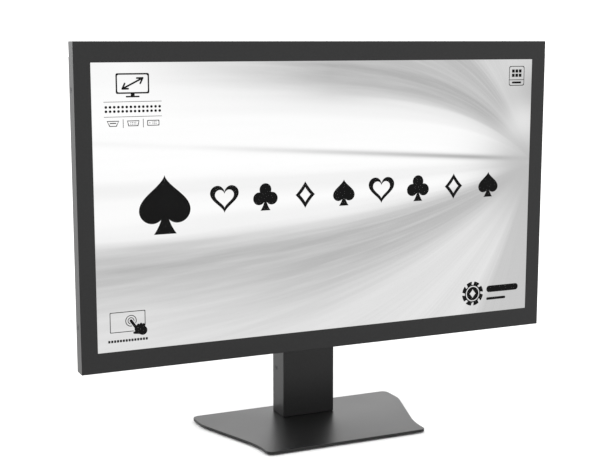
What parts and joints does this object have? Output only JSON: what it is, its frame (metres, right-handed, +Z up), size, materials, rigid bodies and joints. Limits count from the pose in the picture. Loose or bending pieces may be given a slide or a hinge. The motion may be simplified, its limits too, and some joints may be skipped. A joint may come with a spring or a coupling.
{
  "type": "touch screen monitor",
  "caption": "Wide flat touch-screen monitor with a folded-steel frame that tilts on a rectangular column over a wave-sided steel base plate.",
  "frame": {"origin": "on the table, under the centre of the base plate", "axes": "+X to the user's right along the screen's width, +Y to the rear, +Z up"},
  "size_m": [0.543, 0.1482, 0.4205],
  "materials": {
    "black_powder_coat": "satin black powder coat",
    "zinc_steel": "zinc plated",
    "black_screw": "black oxide",
    "black_foam": "closed-cell foam tape",
    "touch_glass": "clear toughened glass",
    "display_cell": "lit picture behind polariser film",
    "black_plastic": "fine moulded texture",
    "white_plastic": "white film",
    "clear_acrylic": "polished acrylic",
    "circuit_board": "green solder mask",
    "flat_cable": "flat ribbon",
    "foot_rubber": "matte rubber",
    "turned_brass": "turned"
  },
  "bodies": {
    "stand": {"base_plate": "black_powder_coat", "column_sleeve": "black_powder_coat", "column_core": "zinc_steel", "column_cap": "black_plastic", "base_screw_left": "zinc_steel", "base_screw_right": "zinc_steel", "sleeve_screw_left": "black_screw", "sleeve_screw_right": "black_screw", "foot_front_left": "foot_rubber", "foot_front_right": "foot_rubber", "foot_rear_left": "foot_rubber", "foot_rear_right": "foot_rubber"},
    "display": {"front_frame": "black_powder_coat", "rear_chassis": "black_powder_coat", "electronics_cover": "black_powder_coat", "tilt_plate": "black_powder_coat", "backlight_tray": "zinc_steel", "tilt_bolt": "zinc_steel", "tilt_nut": "zinc_steel", "usb_socket": "zinc_steel", "hdmi_socket": "zinc_steel", "vga_socket": "zinc_steel", "dvi_socket": "zinc_steel", "mount_screw_1": "zinc_steel", "mount_screw_2": "zinc_steel", "mount_screw_3": "zinc_steel", "mount_screw_4": "zinc_steel", "frame_screw_left_lower": "black_screw", "frame_screw_left_upper": "black_screw", "frame_screw_right_lower": "black_screw", "frame_screw_right_upper": "black_screw", "cover_screw_1": "black_screw", "cover_screw_2": "black_screw", "cover_screw_3": "black_screw", "cover_screw_4": "black_screw", "bezel_gasket": "black_foam", "bonding_gasket": "black_foam", "touch_glass": "touch_glass", "lcd_cell": "display_cell", "panel_frame": "black_plastic", "power_socket": "black_plastic", "audio_socket": "black_plastic", "diffuser_sheets": "white_plastic", "led_strip": "white_plastic", "reflector_sheet": "white_plastic", "light_guide": "clear_acrylic", "main_board": "circuit_board", "led_driver_board": "circuit_board", "touch_controller_board": "circuit_board", "key_board": "circuit_board", "panel_cable": "flat_cable", "touch_cable": "flat_cable", "friction_washer_left": "turned_brass", "friction_washer_right": "turned_brass"},
    "power_key": {"power_button": "black_plastic"},
    "menu_key": {"menu_button": "black_plastic"},
    "plus_key": {"plus_button": "black_plastic"},
    "minus_key": {"minus_button": "black_plastic"},
    "source_key": {"source_button": "black_plastic"}
  },
  "joints": [
    {"name": "tilt", "type": "hinge", "parent": "stand", "child": "display", "pos_m": [0, 0.0428, 0.2569], "axis": [-1, 0, 0], "range_deg": [-4, 20]},
    {"name": "power_press", "type": "slide", "parent": "display", "child": "power_key", "axis": [0, -1, 0], "range_m": [0, 0.0008], "stiffness_N_per_m": 600, "springref_m": -0.0004},
    {"name": "menu_press", "type": "slide", "parent": "display", "child": "menu_key", "axis": [0, -1, 0], "range_m": [0, 0.0008], "stiffness_N_per_m": 600, "springref_m": -0.0004},
    {"name": "plus_press", "type": "slide", "parent": "display", "child": "plus_key", "axis": [0, -1, 0], "range_m": [0, 0.0008], "stiffness_N_per_m": 600, "springref_m": -0.0004},
    {"name": "minus_press", "type": "slide", "parent": "display", "child": "minus_key", "axis": [0, -1, 0], "range_m": [0, 0.0008], "stiffness_N_per_m": 600, "springref_m": -0.0004},
    {"name": "source_press", "type": "slide", "parent": "display", "child": "source_key", "axis": [0, -1, 0], "range_m": [0, 0.0008], "stiffness_N_per_m": 600, "springref_m": -0.0004}
  ]
}
